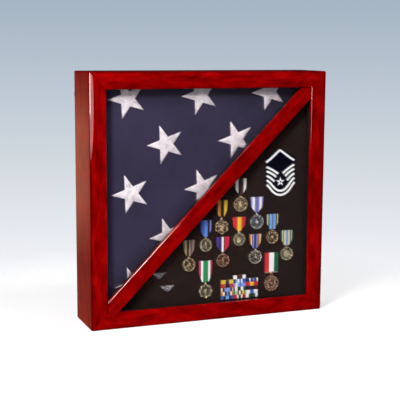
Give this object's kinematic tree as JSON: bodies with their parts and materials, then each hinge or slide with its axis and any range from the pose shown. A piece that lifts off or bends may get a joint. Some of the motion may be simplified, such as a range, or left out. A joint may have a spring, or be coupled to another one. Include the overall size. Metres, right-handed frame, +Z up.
{
  "type": "flag display case",
  "caption": "Square lacquered shadow box with a diagonal bar, a folded flag above it, medals on felt below it, and a hinged back door.",
  "frame": {"origin": "centre of the base's underside, at half the overall depth and half the width", "axes": "+Z up, the glazed front faces -Y, +X to the right seen from the front"},
  "size_m": [0.5716, 0.1334, 0.5715],
  "materials": {
    "cherry_lacquer": "high gloss lacquer over red cherry stain",
    "bare_wood": "plain sanded wood",
    "stained_wood": "dark stained wood",
    "back_board": "stained fibreboard, matt",
    "black_felt": "napped felt",
    "black_liner": "matt black stained wood",
    "flag_cotton": "woven cotton, navy with white sewn stars",
    "patch_cloth": "embroidered cloth",
    "rack_cloth": "woven ribbon bars",
    "glass": "clear polished glass",
    "brass": "satin brass plate",
    "bronze": "antique bronze, struck relief",
    "gold_metal": "polished gilt, struck relief",
    "silver_metal": "oxidised silver, struck relief",
    "steel": "bright zinc plate",
    "catch_plastic": "off-white moulded plastic",
    "bumper_rubber": "matt",
    "ribbon_1": "ribbed woven ribbon",
    "ribbon_2": "ribbed woven ribbon",
    "ribbon_3": "ribbed woven ribbon",
    "ribbon_4": "ribbed woven ribbon",
    "ribbon_5": "ribbed woven ribbon",
    "ribbon_6": "ribbed woven ribbon",
    "ribbon_7": "ribbed woven ribbon",
    "ribbon_8": "ribbed woven ribbon",
    "ribbon_9": "ribbed woven ribbon",
    "ribbon_10": "ribbed woven ribbon",
    "ribbon_11": "ribbed woven ribbon",
    "ribbon_12": "ribbed woven ribbon"
  },
  "bodies": {
    "case": {"stile_left": "cherry_lacquer", "stile_right": "cherry_lacquer", "rail_top": "cherry_lacquer", "rail_bottom": "cherry_lacquer", "diagonal_bar": "cherry_lacquer", "side_panel_left": "cherry_lacquer", "side_panel_right": "cherry_lacquer", "top_panel": "cherry_lacquer", "bottom_panel": "cherry_lacquer", "divider_board": "bare_wood", "glass_flag": "glass", "glass_medals": "glass", "glass_stop_left": "stained_wood", "glass_stop_top": "stained_wood", "glass_stop_diagonal": "stained_wood", "liner_right": "black_liner", "liner_bottom": "black_liner", "liner_diagonal": "black_liner", "medal_board": "black_felt", "folded_flag": "flag_cotton", "chevron_patch": "patch_cloth", "ribbon_rack": "rack_cloth", "badge_upper": "silver_metal", "badge_lower": "silver_metal", "hinge_leaf_case": "brass", "hinge_pin": "steel", "magnetic_catch": "catch_plastic", "hanger_plate_left": "steel", "hanger_plate_right": "steel", "wall_bumper_left": "bumper_rubber", "wall_bumper_right": "bumper_rubber", "medal_1_ribbon": "ribbon_1", "medal_1_pendant": "bronze", "medal_2_ribbon": "ribbon_2", "medal_2_pendant": "bronze", "medal_3_ribbon": "ribbon_3", "medal_3_pendant": "silver_metal", "medal_4_ribbon": "ribbon_4", "medal_4_pendant": "gold_metal", "medal_5_ribbon": "ribbon_5", "medal_5_pendant": "gold_metal", "medal_6_ribbon": "ribbon_6", "medal_6_pendant": "bronze", "medal_7_ribbon": "ribbon_7", "medal_7_pendant": "bronze", "medal_8_ribbon": "ribbon_8", "medal_8_pendant": "bronze", "medal_9_ribbon": "ribbon_9", "medal_9_pendant": "bronze", "medal_10_ribbon": "ribbon_10", "medal_10_pendant": "gold_metal", "medal_11_ribbon": "ribbon_11", "medal_11_pendant": "gold_metal", "medal_12_ribbon": "ribbon_12", "medal_12_pendant": "bronze"},
    "door": {"back_door": "back_board", "hinge_leaf_door": "brass", "strike_plate": "steel"},
    "ring_left": {"hanger_ring_left": "steel"},
    "ring_right": {"hanger_ring_right": "steel"}
  },
  "joints": [
    {"name": "door_hinge", "type": "hinge", "parent": "case", "child": "door", "pos_m": [-0.27025, 0.06415, 0.265], "axis": [0, 0, 1], "range_deg": [0, 105]},
    {"name": "ring_left_swing", "type": "hinge", "parent": "case", "child": "ring_left", "pos_m": [-0.27825, 0.06415, 0.522], "axis": [1, 0, 0], "range_deg": [0, 180]},
    {"name": "ring_right_swing", "type": "hinge", "parent": "case", "child": "ring_right", "pos_m": [0.27825, 0.06415, 0.522], "axis": [1, 0, 0], "range_deg": [0, 180]}
  ]
}
